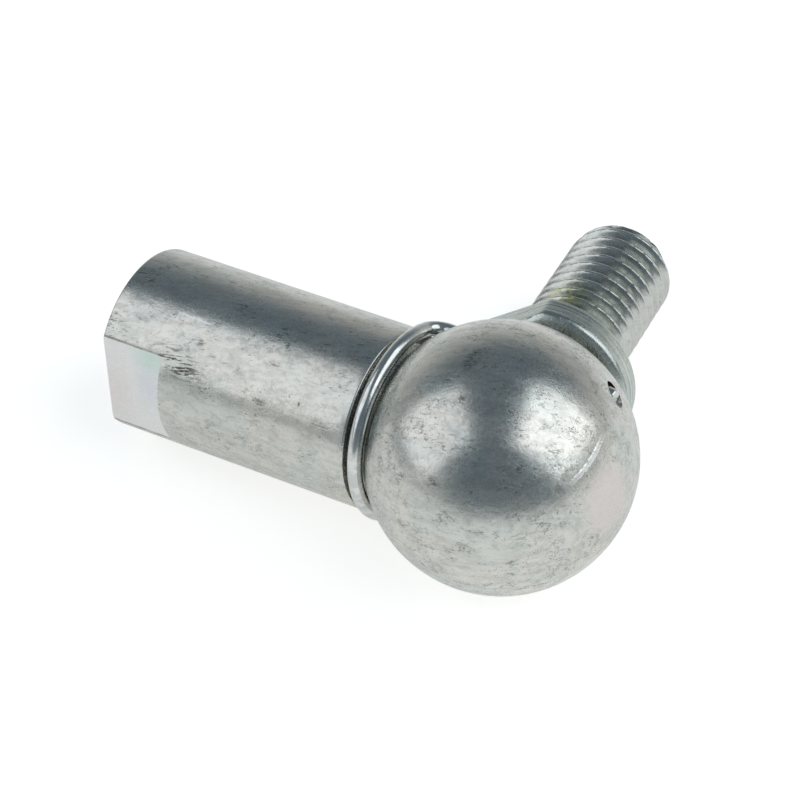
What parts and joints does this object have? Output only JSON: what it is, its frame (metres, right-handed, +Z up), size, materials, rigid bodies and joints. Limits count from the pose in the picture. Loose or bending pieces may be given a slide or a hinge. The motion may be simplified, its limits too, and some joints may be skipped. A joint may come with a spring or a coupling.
{
  "type": "angle ball joint",
  "caption": "Angle ball joint for linkages, with a threaded ball stud, a tapped round shank and a spring wire safety clip.",
  "frame": {"origin": "on the ground under the middle of the joint, as it lies on its head, shank end and stud end", "axes": "+Z up; the tapped shank points along -X and a little down; the threaded stud points along +Y and a little down"},
  "size_m": [0.0392, 0.036, 0.019],
  "materials": {
    "zinc_plated_steel": "bright zinc plate over turned steel",
    "zinc_plated_stud": "bright zinc plate over turned steel",
    "spring_steel_ring": "drawn spring wire",
    "spring_steel_clip": "zinc plated drawn spring wire"
  },
  "bodies": {
    "socket": {"ball_socket": "zinc_plated_steel", "safety_clip": "spring_steel_clip"},
    "ring": {"snap_ring": "spring_steel_ring"},
    "stud": {"ball_stud": "zinc_plated_stud"}
  },
  "joints": [
    {"name": "ring_turn", "type": "hinge", "parent": "socket", "child": "ring", "pos_m": [0.00985, -0.00848, 0.00947], "axis": [0.0121, 0.9927, -0.1198], "continuous": true},
    {"name": "stud_tilt", "type": "hinge", "parent": "ring", "child": "stud", "pos_m": [0.00985, -0.00848, 0.00947], "axis": [-0.477, 0.1111, 0.8719], "range_deg": [-29.83, 6.17]}
  ]
}
